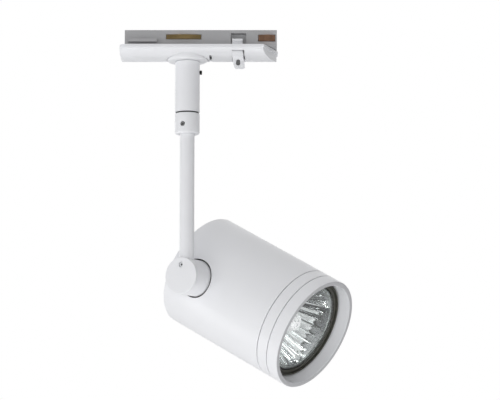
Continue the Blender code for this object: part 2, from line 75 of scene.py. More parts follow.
HINGE_AXIS = Vector(JOINTS["tilt"]["axis"]).normalized()
AIM = Vector(JOINTS["front_ring_turn"]["axis"]).normalized()
LAMP_LINE = Vector(JOINTS["front_ring_turn"]["pos_m"]) / MM
SEAM_Z = JOINTS["pan"]["pos_m"][2] / MM
LATCH_Y, LATCH_Z = (value / MM for value in JOINTS["latch"]["pos_m"][1:])
SIDE_OFFSET = (LAMP_LINE - HINGE).length

# Sizes in mm. Along the lamp and its body, distances are from the tilt axis to the front.
BODY_R, BODY_WALL, BODY_FRONT, BODY_REAR = 32.5, 2.0, 67.0, -18.0
FRONT_GROOVE, REAR_GROOVE, GROOVE = 59.45, 52.5, 0.52
BEZEL_R, SEAT_R, RECESS = 29.8, 29.0, 6.6
VENT_R, VENT_CIRCLE_R, VENTS = 1.8, 25.0, 6
REAR_SCREW_OFFSET, REAR_SCREW_HOLE_R = 17.5, 1.7
REAR_CAP_BACK, REAR_CAP_FRONT = -16.9, -14.9
LAMP_R, LAMP_BACK, LAMP_MOUTH = 25.2, 26.5, 57.8
SEAL_INNER_R = 23.3
CAPSULE_R, CAPSULE_TIP = 5.6, 55.2
KNUCKLE_R, KNUCKLE_FACE, KNUCKLE_END, KNUCKLE_HOLE_R = 10.22, -6.2, 12.5, 11.05
KNUCKLE_SCREW = (-0.2, 6.15)    # its place on the knuckle's disc
COLUMN_R, STEM_R, STEM_BORE_R, FLANGE_R = 6.95, 4.1, 3.1, 11.5
FLANGE_Z, SLEEVE_END_Z = -16.7, -58.0
COLUMN_SCREW_Z, SLEEVE_SCREW_Z = -22.8, -52.9
SLEEVE_SCREW_AIM = (-2.5, -6.48, 0)
COVER_X, COVER_HALF_Y, COVER_TOP, COVER_LIP = (-37.7, 50.8), 15.0, -9.5, 1.45
COVER_CORNER_R = 3.0
COVER_END_R = (1.9, 1.2)        # rounding of the left end, below and above
BULGE_HALF_Y, BULGE_DEPTH = 14.3, 4.9
CUT_X, CUT_RIGHT = 42.8, 9.0    # the slanted cut: start at the near edge, end from the far one
SLIT = 0.08                     # gap between the latch and the left edge of its slot
ROUND = 144                     # sides of a large round piece
LARGEST_ROUND = 192             # sides of the body and its rings
SMALL_ROUND = 72                # sides of the column, stem and lamp base


# ---------------------------------------------------------------- shape helpers
def lamp_place(origin):
    """Frame with +Z along the lamp's axis and +X along the tilt axis."""
    turn = Matrix((HINGE_AXIS, AIM.cross(HINGE_AXIS), AIM)).transposed().to_4x4()
    return Matrix.Translation(origin) @ turn


def knuckle_place():
    """Frame at the knuckle's centre with +Z along the tilt axis and +Y up."""
    up = Vector((0, 0, 1))
    turn = Matrix((up.cross(HINGE_AXIS), up, HINGE_AXIS)).transposed().to_4x4()
    return Matrix.Translation(HINGE) @ turn


def towards(direction, origin=(0, 0, 0)):
    """Frame at origin with +Z along direction."""
    turn = Vector((0, 0, 1)).rotation_difference(Vector(direction)).to_matrix().to_4x4()
    return Matrix.Translation(Vector(origin)) @ turn


def arc(cx, cy, radius, start, end, steps=6):
    """Points of an arc in a plane, from start to end in degrees."""
    points = []
    for i in range(steps + 1):
        angle = math.radians(start + (end - start) * i / steps)
        points.append((cx + radius * math.cos(angle), cy + radius * math.sin(angle)))
    return points


def lathe(profile, segments=ROUND, centre=(0, 0)):
    """Turn a closed outline of (radius, z) points about Z."""
    bm = bmesh.new()
    rings = []
    for radius, z in profile:
        count = 1 if radius < 1e-6 else segments
        ring = []
        for i in range(count):
            angle = 2 * math.pi * i / segments
            ring.append(bm.verts.new((centre[0] + radius * math.cos(angle),
                                      centre[1] + radius * math.sin(angle), z)))
        rings.append(ring)
    for low, high in zip(rings, rings[1:] + rings[:1]):
        if len(low) == 1 and len(high) == 1:
            continue
        for i in range(segments):
            j = (i + 1) % segments
            if len(low) == 1:
                bm.faces.new((low[0], high[j], high[i]))
            elif len(high) == 1:
                bm.faces.new((low[i], low[j], high[0]))
            else:
                bm.faces.new((low[i], low[j], high[j], high[i]))
    return bm


def rod(radius, z0, z1):
    """Outline of a solid cylinder, for lathe."""
    return [(0, z0), (radius, z0), (radius, z1), (0, z1)]


def tube(outer, inner, z0, z1, chamfer=0.0):
    """Outline of a pipe with chamfered ends, for lathe."""
    return [(inner, z0 + chamfer), (inner + chamfer, z0),
            (outer - chamfer, z0), (outer, z0 + chamfer),
            (outer, z1 - chamfer), (outer - chamfer, z1),
            (inner + chamfer, z1), (inner, z1 - chamfer)]


def prism(outline, low, high, axis="Z"):
    """Extrude a closed outline along an axis. The outline is in the other two axes' plane."""
    order = {"X": (2, 0, 1), "Y": (0, 2, 1), "Z": (0, 1, 2)}[axis]
    bm = bmesh.new()
    layers = []
    for level in (low, high):
        layer = []
        for u, v in outline:
            point = (u, v, level)
            layer.append(bm.verts.new([point[k] for k in order]))
        layers.append(layer)
    for i in range(len(outline)):
        j = (i + 1) % len(outline)
        bm.faces.new((layers[0][i], layers[0][j], layers[1][j], layers[1][i]))
    bm.faces.new(layers[0])
    bm.faces.new(layers[1])
    return bm


def box(x0, x1, y0, y1, z0, z1):
    """Plain block, used only as a cutter."""
    return prism([(x0, y0), (x1, y0), (x1, y1), (x0, y1)], z0, z1)


def moved(bm, matrix):
    """The same shape in another place."""
    bmesh.ops.transform(bm, matrix=matrix, verts=bm.verts)
    return bm


def to_mesh(name, bm, place=None):
    """Put a shape in its place, in metres, as a mesh."""
    bmesh.ops.recalc_face_normals(bm, faces=bm.faces)
    if place is not None:
        bmesh.ops.transform(bm, matrix=place, verts=bm.verts)
    bmesh.ops.scale(bm, vec=(MM, MM, MM), verts=bm.verts)
    mesh = bpy.data.meshes.new(name)
    bm.to_mesh(mesh)
    bm.free()
    return mesh


def add_object(name, data):
    """Put new data in the scene as an object."""
    obj = bpy.data.objects.new(name, data)
    bpy.context.scene.collection.objects.link(obj)
    return obj


def settle(obj):
    """Apply the object's modifiers to its mesh."""
    graph = bpy.context.evaluated_depsgraph_get()
    graph.update()
    mesh = bpy.data.meshes.new_from_object(obj.evaluated_get(graph))
    obj.modifiers.clear()
    obj.data = mesh


def boolean(obj, operation, tool):
    """Join, cut or intersect an object's mesh with another object, which is used up."""
    step = obj.modifiers.new("Boolean", "BOOLEAN")
    step.operation, step.solver, step.object = operation, "EXACT", tool
    settle(obj)
    bpy.data.objects.remove(tool, do_unlink=True)


def make(name, bm, body, finish, stands_for=(), place=None, cuts=(), joins=(), bevel=0.0,
         sharp=32):
    """One finished piece: cut, joined, bevelled, smoothed, with its material, on its body."""
    obj = add_object(name, to_mesh(name, bm, place))
    for operation, solids in (("UNION", joins), ("DIFFERENCE", cuts)):
        for solid in solids:
            boolean(obj, operation, add_object("tool", to_mesh("tool", solid, place)))
    if bevel:
        step = obj.modifiers.new("Bevel", "BEVEL")
        step.width, step.segments, step.limit_method = bevel * MM, 3, "ANGLE"
        step.angle_limit = math.radians(sharp)
        step.use_clamp_overlap = True
        settle(obj)
    obj.data.shade_smooth()
    obj.data.set_sharp_from_angle(angle=math.radians(sharp))
    obj.data.materials.clear()
    obj.data.materials.append(finish)
    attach(obj, body)
    if stands_for:
        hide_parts(*stands_for)


def common(first, second):
    """The solid that two solids share."""
    kept = add_object("first", to_mesh("first", first))
    boolean(kept, "INTERSECT", add_object("second", to_mesh("second", second)))
    bm = bmesh.new()
    bm.from_mesh(kept.data)
    bmesh.ops.scale(bm, vec=(1 / MM,) * 3, verts=bm.verts)
    bpy.data.objects.remove(kept, do_unlink=True)
    return bm


# ---------------------------------------------------------------- materials
MIX_COLOUR_A, MIX_COLOUR_B, MIX_COLOUR_RESULT = 6, 7, 2    # colour sockets of a Mix node


class Nodes:
    """Small helper for building a node material."""

    def __init__(self, name):
        self.material = bpy.data.materials.new(name)
        self.material.use_nodes = True
        self.tree = self.material.node_tree
        self.shader = self.tree.nodes["Principled BSDF"]
        coordinates = self.add("ShaderNodeTexCoord")
        self.place, self.normal = coordinates.outputs["Object"], coordinates.outputs["Normal"]

    def add(self, kind, **values):
        node = self.tree.nodes.new(kind)
        for key, value in values.items():
            setattr(node, key, value)
        return node

    def link(self, source, target):
        self.tree.links.new(source, target)

    def noise(self, scale, detail=3.0, rough=0.5, stretch=(1, 1, 1)):
        """Noise in the object's own coordinates, scale in cells per metre."""
        mapping = self.add("ShaderNodeMapping")
        mapping.inputs["Scale"].default_value = stretch
        self.link(self.place, mapping.inputs["Vector"])
        node = self.add("ShaderNodeTexNoise")
        node.inputs["Scale"].default_value = scale
        node.inputs["Detail"].default_value = detail
        node.inputs["Roughness"].default_value = rough
        self.link(mapping.outputs["Vector"], node.inputs["Vector"])
        return node.outputs["Fac"]

    def ramp(self, source, stops):
        """Colour ramp from (position, colour) stops."""
        node = self.add("ShaderNodeValToRGB")
        elements = node.color_ramp.elements
        while len(elements) < len(stops):
            elements.new(0.5)
        for element, (where, colour) in zip(elements, stops):
            element.position = where
            element.color = (*colour, 1.0)
        self.link(source, node.inputs["Fac"])
        return node.outputs["Color"]

    def span(self, source, low, high):
        """Map 0 to 1 onto low to high."""
        node = self.add("ShaderNodeMapRange")
        node.inputs["To Min"].default_value = low
        node.inputs["To Max"].default_value = high
        self.link(source, node.inputs["Value"])
        return node.outputs["Result"]

    def bump(self, sources):
        """Stack (height, distance in mm) pairs into one normal."""
        normal = None
        for height, distance in sources:
            node = self.add("ShaderNodeBump")
            node.inputs["Distance"].default_value = distance * MM
            self.link(height, node.inputs["Height"])
            if normal is not None:
                self.link(normal, node.inputs["Normal"])
            normal = node.outputs["Normal"]
        self.link(normal, self.shader.inputs["Normal"])

    def set(self, **values):
        """Set plain inputs of the shader, with _ for a space in their names."""
        for key, value in values.items():
            self.shader.inputs[key.replace("_", " ")].default_value = value


def powder_coat(name, tone, roughness, painted_shade_towards=None):
    """White satin powder coat: faint orange peel, fine grain, slight tone drift. A face turned
    along the given direction is painted greyer: painted shade, for the weaker light it gets."""
    m = Nodes(name)
    drift = m.noise(35, 2)
    low, high = [c * 0.985 for c in tone], [min(c * 1.01, 1) for c in tone]
    colour = m.ramp(drift, [(0.3, low), (0.7, high)])
    if painted_shade_towards is not None:
        # Painted shade: the colour is multiplied towards grey where the face looks along the given
        # direction.
        facing = m.add("ShaderNodeVectorMath", operation="DOT_PRODUCT")
        facing.inputs[1].default_value = painted_shade_towards
        m.link(m.normal, facing.inputs[0])
        share = m.ramp(facing.outputs["Value"], [(0.55, (0, 0, 0)), (0.93, (1, 1, 1))])
        painted_shade_mix = m.add("ShaderNodeMix", data_type="RGBA", blend_type="MULTIPLY")
        m.link(share, painted_shade_mix.inputs["Factor"])
        m.link(colour, painted_shade_mix.inputs[MIX_COLOUR_A])
        painted_shade_mix.inputs[MIX_COLOUR_B].default_value = (0.63, 0.63, 0.635, 1)
        colour = painted_shade_mix.outputs[MIX_COLOUR_RESULT]
    m.link(colour, m.shader.inputs["Base Color"])
    grain = m.span(m.noise(600, 2), roughness - 0.04, roughness + 0.04)
    m.link(grain, m.shader.inputs["Roughness"])
    m.bump([(m.noise(420, 2), 0.012), (m.noise(2600, 2), 0.004)])
    m.set(IOR=1.5)
    return m.material


def moulded(name, tone, roughness):
    """Moulded plastic with a fine spark-eroded grain."""
    m = Nodes(name)
    low, high = [c * 0.97 for c in tone], [min(c * 1.02, 1) for c in tone]
    m.link(m.ramp(m.noise(60, 3), [(0.3, low), (0.7, high)]), m.shader.inputs["Base Color"])
    grain = m.span(m.noise(1500, 2), roughness - 0.05, roughness + 0.05)
    m.link(grain, m.shader.inputs["Roughness"])
    m.bump([(m.noise(3500, 3, 0.6), 0.006)])
    return m.material


def metal(name, tone, roughness):
    """Bare or plated metal with drawn or turned streaks and small stains."""
    m = Nodes(name)
    streaks = m.noise(900, 4, 0.6, stretch=(1, 1, 12))
    low, high = [c * 0.8 for c in tone], [min(c * 1.06, 1) for c in tone]
    m.link(m.ramp(m.noise(120, 4), [(0.25, low), (0.65, high)]), m.shader.inputs["Base Color"])
    m.link(m.span(streaks, roughness - 0.08, roughness + 0.12), m.shader.inputs["Roughness"])
    m.bump([(streaks, 0.004)])
    m.set(Metallic=1.0)
    return m.material


def ceramic():
    """Speckled, dry ceramic."""
    m = Nodes("unglazed_ceramic")
    m.link(m.ramp(m.noise(900, 5), [(0.35, (0.70, 0.68, 0.62)), (0.6, (0.83, 0.81, 0.76))]),
           m.shader.inputs["Base Color"])
    m.bump([(m.noise(1800, 4, 0.7), 0.02)])
    m.set(Roughness=0.75)
    return m.material


def retainer():
    """Dark olive heat-resistant ring, slightly dusty."""
    m = Nodes("dark_retainer")
    dust = m.noise(500, 5, 0.65)
    m.link(m.ramp(dust, [(0.35, (0.024, 0.024, 0.017)), (0.7, (0.062, 0.062, 0.046))]),
           m.shader.inputs["Base Color"])
    m.link(m.span(dust, 0.3, 0.55), m.shader.inputs["Roughness"])
    m.bump([(m.noise(1500, 3), 0.01)])
    return m.material


def sheath():
    """Braided glass sleeve over the leads."""
    m = Nodes("braided_sheath")
    wave = m.add("ShaderNodeTexWave", wave_type="BANDS", bands_direction="DIAGONAL")
    wave.inputs["Scale"].default_value = 600
    wave.inputs["Distortion"].default_value = 1.5
    m.link(m.place, wave.inputs["Vector"])
    m.link(m.ramp(wave.outputs["Fac"], [(0.2, (0.55, 0.54, 0.50)), (0.8, (0.82, 0.81, 0.78))]),
           m.shader.inputs["Base Color"])
    m.bump([(wave.outputs["Fac"], 0.08)])
    m.set(Roughness=0.8)
    return m.material


def seal():
    """Greenish glass edge where the front glass is sealed to the reflector."""
    m = Nodes("sealed_glass_edge")
    m.link(m.ramp(m.noise(800, 4), [(0.35, (0.16, 0.18, 0.16)), (0.65, (0.62, 0.67, 0.65))]),
           m.shader.inputs["Base Color"])
    m.link(m.span(m.noise(500, 3), 0.1, 0.3), m.shader.inputs["Roughness"])
    m.bump([(m.noise(1200, 3), 0.06)])
    m.set(Metallic=0.85)
    return m.material


def mirror():
    """Aluminium-coated pressed glass, slightly cool, with small ripples."""
    m = Nodes("reflector_coating")
    m.link(m.ramp(m.noise(160, 3), [(0.3, (0.77, 0.79, 0.787)), (0.7, (0.87, 0.888, 0.885))]),
           m.shader.inputs["Base Color"])
    m.link(m.span(m.noise(700, 3), 0.02, 0.08), m.shader.inputs["Roughness"])
    m.bump([(m.noise(420, 2), 0.012)])
    m.set(Metallic=1.0)
    return m.material


def clear_glass():
    """Thin clear glass: see-through, with a gloss that grows towards grazing views."""
    m = Nodes("clear_front_glass")
    m.tree.nodes.remove(m.shader)
    through = m.add("ShaderNodeBsdfTransparent")
    through.inputs["Color"].default_value = (0.985, 0.99, 0.991, 1)
    gloss = m.add("ShaderNodeBsdfGlossy")
    m.link(m.span(m.noise(250, 3), 0.01, 0.05), gloss.inputs["Roughness"])
    facing = m.add("ShaderNodeLayerWeight")
    power = m.add("ShaderNodeMath", operation="POWER")
    power.inputs[1].default_value = 5.0
    m.link(facing.outputs["Facing"], power.inputs[0])
    mix = m.add("ShaderNodeMixShader")
    m.link(m.span(power.outputs["Value"], 0.045, 1.0), mix.inputs["Fac"])
    m.link(through.outputs["BSDF"], mix.inputs[1])
    m.link(gloss.outputs["BSDF"], mix.inputs[2])
    m.link(mix.outputs["Shader"], m.tree.nodes["Material Output"].inputs["Surface"])
    return m.material


def cloudy_quartz():
    """Capsule of fused quartz: bright, crazed and cloudy, clearer in small patches. Its faint
    glow stands for the light that the reflector gathers on it."""
    m = Nodes("capsule_quartz")
    speckle = m.noise(1100, 4, 0.7)
    m.link(m.ramp(speckle, [(0.36, (0.50, 0.53, 0.55)), (0.52, (1.0, 1.0, 1.0))]),
           m.shader.inputs["Base Color"])
    m.link(m.ramp(speckle, [(0.33, (0.7,) * 3), (0.48, (1.0,) * 3)]), m.shader.inputs["Alpha"])
    m.bump([(m.noise(1100, 3), 0.3)])
    m.link(m.ramp(speckle, [(0.36, (0, 0, 0)), (0.54, (1, 1, 1))]),
           m.shader.inputs["Emission Color"])
    m.set(Roughness=0.1, Metallic=0.2, Emission_Strength=0.36)
    return m.material


WHITE = powder_coat("white_powder_coat", (0.822, 0.829, 0.853), 0.40)
# The front ring's face that looks along the lamp's axis gets painted shade, greyer than the rest.
RING_WHITE_PAINTED_SHADE = powder_coat("white_powder_coat_ring_painted_shade", (0.822, 0.829, 0.853), 0.40, AIM)
PLASTIC = moulded("white_moulding", (0.815, 0.823, 0.848), 0.42)
GREY = moulded("grey_insulator", (0.42, 0.42, 0.43), 0.55)
BLACK = moulded("black_washer_and_painted_shade", (0.03, 0.03, 0.03), 0.5)
STEEL = metal("zinc_plated_steel", (0.62, 0.62, 0.61), 0.32)
PAINTED_STEEL = powder_coat("painted_over_steel", (0.80, 0.81, 0.83), 0.45)
DULL_STEEL = metal("dull_steel", (0.45, 0.45, 0.45), 0.7)
DARK_STEEL = metal("blackened_steel", (0.07, 0.07, 0.07), 0.38)
BRASS = metal("brass", (0.78, 0.57, 0.27), 0.3)
COPPER = metal("copper_contact", (0.72, 0.42, 0.28), 0.3)
CERAMIC = ceramic()
RETAINER = retainer()
SHEATH = sheath()
MIRROR = mirror()
GLASS = clear_glass()
QUARTZ = cloudy_quartz()
SEAL = seal()


# ---------------------------------------------------------------- adapter
def cover_outline(inset=0.0):
    """Plan of the cover: round corners, the near right corner cut off slantwise."""
    x0, x1 = COVER_X[0] + inset, COVER_X[1] - inset
    half = COVER_HALF_Y - inset
    corner = COVER_CORNER_R - min(inset, 2.0)
    points = [(CUT_X - inset * 0.6, -half), (x1, half - CUT_RIGHT + inset)]
    points += arc(x1 - corner, half - corner, corner, 0, 90)
    points += arc(x0 + corner, half - corner, corner, 90, 180)
    points += arc(x0 + corner, -half + corner, corner, 180, 270)
    return points


def bulge_section(half, depth, top):
    """Section across the cover's bulge: half an ellipse below the lip, square above."""
    crease, steps = COVER_TOP - COVER_LIP, 48
    points = [(half, top), (-half, top)]
    for i in range(steps + 1):
        angle = math.pi + math.pi * i / steps
        points.append((half * math.cos(angle), crease + depth * math.sin(angle)))
    return points


def cover_side():
    """Side view of the cover, its left end rounded below and above."""
    x0, x1 = COVER_X[0] + 0.1, COVER_X[1] + 1
    bottom, top = COVER_TOP - COVER_LIP - BULGE_DEPTH, COVER_TOP + 0.01
    below, above = COVER_END_R
    points = arc(x0 + below, bottom + below, below, 180, 270)
    points += [(x1, bottom), (x1, top), (x0 + above, top)]
    return points + arc(x0 + above, COVER_TOP - above, above, 90, 180)


def make_cover():
    """Moulded cover: a thin lip over a rounded, hollow bulge, with the flange's hole, the
    latch's slot and a shallow notch across its underside."""
    lip, wall = 0.7, 1.4
    low = COVER_TOP - COVER_LIP - BULGE_DEPTH - 1
    side = prism(cover_side(), -COVER_HALF_Y - 1, COVER_HALF_Y + 1, "Y")
    section = bulge_section(BULGE_HALF_Y, BULGE_DEPTH, COVER_TOP - 0.4)
    plan = [(x - 0.6 if x < 0 else x, y) for x, y in cover_outline(lip)]
    bulge = common(prism(section, COVER_X[0], COVER_X[1] - lip, "X"), prism(plan, low, COVER_TOP))
    bulge = common(bulge, side.copy())
    plate = common(prism(cover_outline(), COVER_TOP - COVER_LIP, COVER_TOP), side)
    inside = prism(bulge_section(BULGE_HALF_Y - wall, BULGE_DEPTH - wall + 0.1, COVER_TOP + 4),
                   COVER_X[0] + lip + wall, CUT_X - 4.0, "X")
    flange_hole = lathe(rod(FLANGE_R + 0.3, -20, -10), 96)
    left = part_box("latch_lever")[0].x / MM - SLIT
    slot = prism([(left, -13.4), (31.9, -13.4), (32.8, 5.0), (left, 5.0)], -20, COVER_TOP + 1)
    notch = prism([(12.4, -13.7), (13.2, -14.2), (14.6, -15.1), (20.6, -15.9), (20.6, -17),
                   (12.4, -17)], -9.0, 15.0, "Y")
    make("adapter_cover_skin", bulge, "adapter", PLASTIC, ["adapter_cover"], joins=[plate],
         cuts=[inside, flange_hole, slot, notch], bevel=0.22)


def make_latch():
    """Bent tab: its side view and its front view, intersected, with the oval finger hole."""
    side = [(-11.3, -7.0), (-11.3, -5.7), (-8.4, -5.7), (-8.4, -9.5), (-7.8, -11.0),
            (-7.9, -14.4), (-7.9, -22.3), (-9.1, -22.3), (-9.1, -15.3), (-12.6, -14.3),
            (-12.8, -13.1), (-11.3, -12.0), (-11.3, -10.1), (-9.8, -9.3), (-9.8, -7.0)]
    left, right = (corner.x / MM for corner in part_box("latch_lever"))
    front = [(left, -5), (left, -15.0), (left + 0.5, -18.5), (left + 1.3, -21.4),
             (left + 2.0, -22.3), (right - 0.7, -22.3), (right, -21.6), (right - 0.5, -17.5),
             (right - 1.3, -12.9), (right - 1.3, -5)]
    lever = common(prism(side, left, right, "X"), prism(front, -20, 0, "Y"))
    hole_x, hole_r = left + 3.4, 1.15
    oval = arc(hole_x, -18.2, hole_r, 0, 180, 12) + arc(hole_x, -19.4, hole_r, 180, 360, 12)
    along_x = Matrix(((0, 0, 1, 0), (1, 0, 0, LATCH_Y), (0, 1, 0, LATCH_Z), (0, 0, 0, 1)))
    bore = moved(lathe(rod(0.9, 20, 40), 24), along_x)
    make("latch_tab", lever, "latch", PLASTIC, ["latch_lever"],
         cuts=[prism(oval, -20, 0, "Y"), bore], bevel=0.2)


# ---------------------------------------------------------------- column, stem, knuckle
def make_column():
    """Stepped flange, fixed column below it, and the column's set screw."""
    flange = [(2.7, -28.0), (5.2, -28.0), (5.2, FLANGE_Z), (FLANGE_R - 1.5, FLANGE_Z)]
    flange += arc(FLANGE_R - 1.25, FLANGE_Z + 1.1, 1.1, -80, 0)
    flange += [(FLANGE_R, -14.6), (FLANGE_R, -12.8), (3.9, -12.8), (3.9, -7.2), (2.7, -7.2)]
    make("adapter_collar", lathe(flange), "adapter", WHITE, ["adapter_flange"])
    bottom, top = SEAM_Z + 0.4, FLANGE_Z - 0.3
    column = [(4.3, bottom), (COLUMN_R - 0.25, bottom), (COLUMN_R, bottom + 0.25), (COLUMN_R, top)]
    column += [(5.6, top), (5.6, -43.0), (4.3, -43.0)]
    place = towards((1, 0, 0), (0, 0, COLUMN_SCREW_Z))
    make("column_skin", lathe(column, SMALL_ROUND), "adapter", WHITE, ["column_tube"],
         cuts=[moved(lathe(rod(1.5, 4, 9), 32), place)])
    make("column_screw", screw(1.25, 5.55, 8.2), "adapter", DARK_STEEL, ["column_grub_screw"],
         place)


def screw(radius, start, end):
    """Socket set screw along +Z, its socket at the end."""
    thread = [(0, start), (radius - 0.3, start), (radius, start + 0.3)]
    z = start + 0.3
    while z < end - 0.5:
        thread += [(radius, z), (radius - 0.14, z + 0.12), (radius, z + 0.25)]
        z += 0.3
    socket, depth = radius * 0.5, 0.9
    thread += [(radius, end - 0.2), (radius - 0.2, end)]
    thread += [(socket, end), (socket, end - depth), (0, end - depth)]
    return lathe(thread, 24)


def make_stem():
    """Turning sleeve with its set screw, and the stem below it."""
    end, top = SLEEVE_END_Z, SEAM_Z - 0.4
    sleeve = [(4.4, end)] + arc(COLUMN_R - 1.0, end + 1.0, 1.0, -90, 0) + [(COLUMN_R, top - 0.25)]
    sleeve += [(COLUMN_R - 0.25, top), (4.4, top)]
    place = towards(Vector(SLEEVE_SCREW_AIM).normalized(), (0, 0, SLEEVE_SCREW_Z))
    make("sleeve_skin", lathe(sleeve, SMALL_ROUND), "stem", WHITE, ["swivel_sleeve"],
         cuts=[moved(lathe(rod(1.4, 3, 8), 40), place)], bevel=0.08)
    make("sleeve_screw", screw(1.1, 4.75, 6.4), "stem", DULL_STEEL, ["sleeve_grub_screw"], place)
    low, high = (corner.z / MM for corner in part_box("stem_tube"))
    stem = lathe(tube(STEM_R, STEM_BORE_R, low, high, 0.2), SMALL_ROUND)
    make("stem_skin", stem, "stem", WHITE, ["stem_tube"])


def make_knuckle():
    """Knuckle at the foot of the stem: cup, front disc, and the set screw in the disc."""
    place = knuckle_place()
    start = KNUCKLE_FACE + 1.85
    housing = [(3.3, 10.5), (8.6, 10.5), (8.6, start), (KNUCKLE_R - 0.12, start)]
    housing += [(KNUCKLE_R, start + 0.12), (KNUCKLE_R, KNUCKLE_END - 0.2)]
    housing += [(KNUCKLE_R - 0.2, KNUCKLE_END), (3.3, KNUCKLE_END)]
    make("knuckle_skin", lathe(housing), "stem", WHITE, ["knuckle_housing"], place,
         cuts=[moved(lathe(rod(STEM_R + 0.15, 5, 12), 64), towards((0, 1, 0)))])
    thick = 1.6
    cap = [(0, KNUCKLE_FACE)] + arc(KNUCKLE_R - 0.45, KNUCKLE_FACE + 0.45, 0.45, -90, 0)
    cap += [(KNUCKLE_R, KNUCKLE_FACE + thick - 0.1), (KNUCKLE_R - 0.1, KNUCKLE_FACE + thick)]
    cap += [(0, KNUCKLE_FACE + thick)]
    make("knuckle_disc", lathe(cap), "stem", WHITE, ["knuckle_cap"], place,
         cuts=[lathe(rod(1.55, -8, -3), 40, KNUCKLE_SCREW)], bevel=0.1)
    facing_out = Matrix.Translation((*KNUCKLE_SCREW, 0)) @ Matrix.Rotation(math.pi, 4, "X")
    make("knuckle_screw", moved(screw(1.32, 4.45, 5.65), facing_out), "stem", PAINTED_STEEL,
         ["knuckle_grub_screw"], place)
    # Painted shade: a black disc at the bottom of the screw's socket stands for the shade deep
    # inside it.
    socket = lathe([(0, -5.3), (0.62, -5.3), (0.55, -5.1), (0, -5.1)], 6, KNUCKLE_SCREW)
    make("knuckle_screw_socket_painted_shade", socket, "stem", BLACK, (), place)


# ---------------------------------------------------------------- lamp body
def make_body():
    """Body shell with the knuckle's hole, painted shade in the hole's gap, and the middle ring."""
    place = lamp_place(HINGE)
    axis = (SIDE_OFFSET, 0)
    inner, front = BODY_R - BODY_WALL, REAR_GROOVE - GROOVE / 2
    shell = [(inner, front), (inner, BODY_REAR + 0.3), (inner + 0.3, BODY_REAR)]
    shell += arc(BODY_R - 0.8, BODY_REAR + 0.8, 0.8, -90, 0)
    shell += [(BODY_R, front - 0.15), (BODY_R - 0.15, front)]
    hole = moved(lathe(rod(KNUCKLE_HOLE_R, 0, 20), 128), towards((1, 0, 0)))
    make("body_skin", lathe(shell, LARGEST_ROUND, axis), "lamp_housing", WHITE, ["body_shell"],
         place, cuts=[hole])
    # Painted shade: a black ring inside the knuckle's hole stands for the shade in the gap round
    # the knuckle.
    gap_shade_outline = tube(KNUCKLE_HOLE_R - 0.05, KNUCKLE_R + 0.25, 0, 14)
    gap_shade_ring = moved(lathe(gap_shade_outline, 128), towards((1, 0, 0)))
    inside = lathe(rod(BODY_R - 0.25, BODY_REAR + 1, front - 1), LARGEST_ROUND, axis)
    make("knuckle_hole_painted_shade_ring", common(gap_shade_ring, inside), "lamp_housing", BLACK, (), place)
    a, b = REAR_GROOVE + GROOVE / 2, FRONT_GROOVE - GROOVE / 2
    ring = [(30.2, 46.5), (30.2, a), (BODY_R - 0.15, a), (BODY_R, a + 0.15), (BODY_R, b - 0.15)]
    ring += [(BODY_R - 0.15, b), (31.2, b), (31.2, 54.0), (28.4, 54.0), (28.4, 46.5)]
    make("middle_ring_skin", lathe(ring, LARGEST_ROUND, axis), "lamp_housing", WHITE,
         ["middle_ring"], place)
    make_rear(place, axis, inner)


def make_rear(place, axis, inner):
    """Rear cap with a rib inside, vent holes and two cross-head screws."""
    back, front = REAR_CAP_BACK, REAR_CAP_FRONT
    cap = [(0, back), (inner - 0.6, back), (inner - 0.3, back + 0.3), (inner - 0.3, front)]
    cap += [(20.0, front), (20.0, -12.7), (15.0, -12.7), (15.0, front), (0, front)]
    screw_x = (SIDE_OFFSET - REAR_SCREW_OFFSET, SIDE_OFFSET + REAR_SCREW_OFFSET)
    cuts = [lathe(rod(REAR_SCREW_HOLE_R, -20, -8), 32, (x, 0)) for x in screw_x]
    for i in range(VENTS):
        angle = 2 * math.pi * (i + 0.5) / VENTS
        vent = (SIDE_OFFSET + VENT_CIRCLE_R * math.cos(angle), VENT_CIRCLE_R * math.sin(angle))
        cuts.append(lathe(rod(VENT_R, -18, -14), 32, vent))
    make("rear_cap_skin", lathe(cap, ROUND, axis), "lamp_housing", WHITE, ["rear_cap"], place,
         cuts=cuts, bevel=0.15)
    half, arm, floor = 1.7, 0.3, -17.3      # the cross in a screw's head
    head = [(0, -17.9), (2.2, -17.9), (2.8, -17.5), (2.8, -17.2), (1.4, -17.2), (1.4, -9.5),
            (0, -9.5)]
    for tag, x in zip(("left", "right"), screw_x):
        cross = [box(x - half, x + half, -arm, arm, -19, floor),
                 box(x - arm, x + arm, -half, half, -19, floor)]
        make(f"rear_screw_{tag}_skin", lathe(head, 32, (x, 0)), "lamp_housing", STEEL,
             [f"rear_screw_{tag}"], place, cuts=cross, bevel=0.05)


